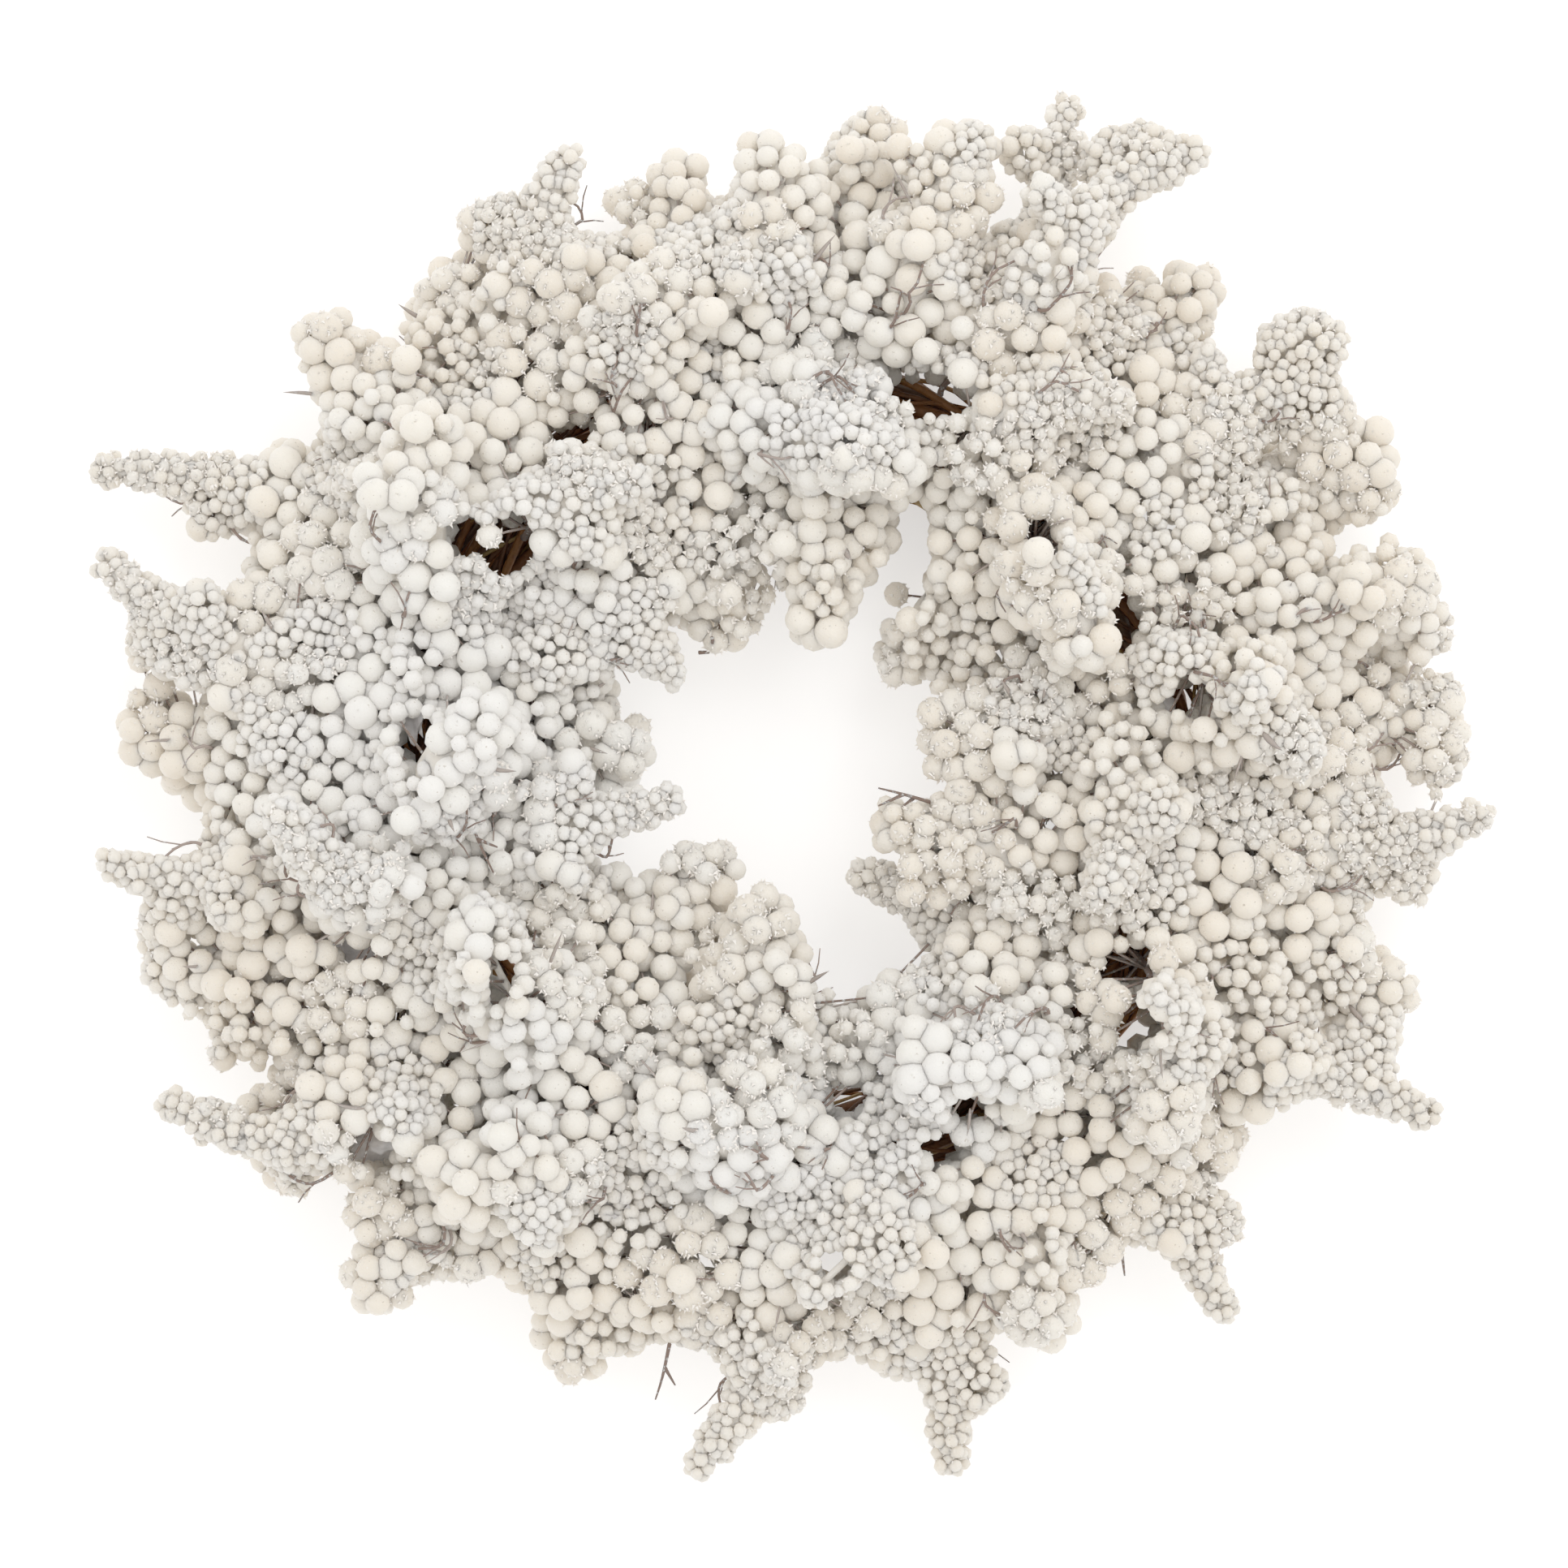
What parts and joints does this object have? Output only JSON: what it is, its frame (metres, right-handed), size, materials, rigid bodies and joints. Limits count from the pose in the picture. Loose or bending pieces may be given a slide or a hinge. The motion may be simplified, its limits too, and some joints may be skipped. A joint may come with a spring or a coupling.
{
  "type": "berry wreath",
  "caption": "Round artificial wreath of frosted white berry sprays on a twisted vine ring, lying on its back with an open middle.",
  "frame": {"origin": "middle of the wreath, on the surface that it lies on", "axes": "+Z out of the wreath's face, away from the surface; +Y towards its top as it would hang; +X to the right seen from its face"},
  "size_m": [0.5599, 0.5557, 0.1189],
  "materials": {
    "berries": "matte foam with a fine frost of white flakes",
    "vine": "rough bark"
  },
  "bodies": {
    "root": {"spray_crown_01": "berries", "spray_crown_02": "berries", "spray_crown_03": "berries", "spray_crown_04": "berries", "spray_crown_05": "berries", "spray_crown_06": "berries", "spray_crown_07": "berries", "spray_crown_08": "berries", "spray_crown_09": "berries", "spray_crown_10": "berries", "spray_crown_11": "berries", "spray_crown_12": "berries", "spray_crown_13": "berries", "spray_crown_14": "berries", "spray_crown_15": "berries", "spray_crown_16": "berries", "spray_inner_01": "berries", "spray_inner_02": "berries", "spray_inner_03": "berries", "spray_inner_04": "berries", "spray_inner_05": "berries", "spray_inner_06": "berries", "spray_inner_07": "berries", "spray_inner_08": "berries", "spray_inner_09": "berries", "spray_inner_10": "berries", "spray_inner_11": "berries", "spray_outer_01": "berries", "spray_outer_02": "berries", "spray_outer_03": "berries", "spray_outer_04": "berries", "spray_outer_05": "berries", "spray_outer_06": "berries", "spray_outer_07": "berries", "spray_outer_08": "berries", "spray_outer_09": "berries", "spray_outer_10": "berries", "spray_outer_11": "berries", "spray_outer_12": "berries", "spray_outer_13": "berries", "spray_outer_14": "berries", "spray_outer_15": "berries", "spray_outer_16": "berries", "spray_outer_17": "berries", "spray_outer_18": "berries", "spray_outer_19": "berries", "spray_outer_20": "berries", "spray_outer_21": "berries", "spray_outer_22": "berries", "spray_outer_23": "berries", "spray_outer_24": "berries", "spray_outer_25": "berries", "spray_outer_26": "berries", "spray_outer_27": "berries", "spray_outer_28": "berries", "spray_outer_29": "berries", "spray_outer_30": "berries", "vine_ring": "vine"}
  },
  "joints": []
}
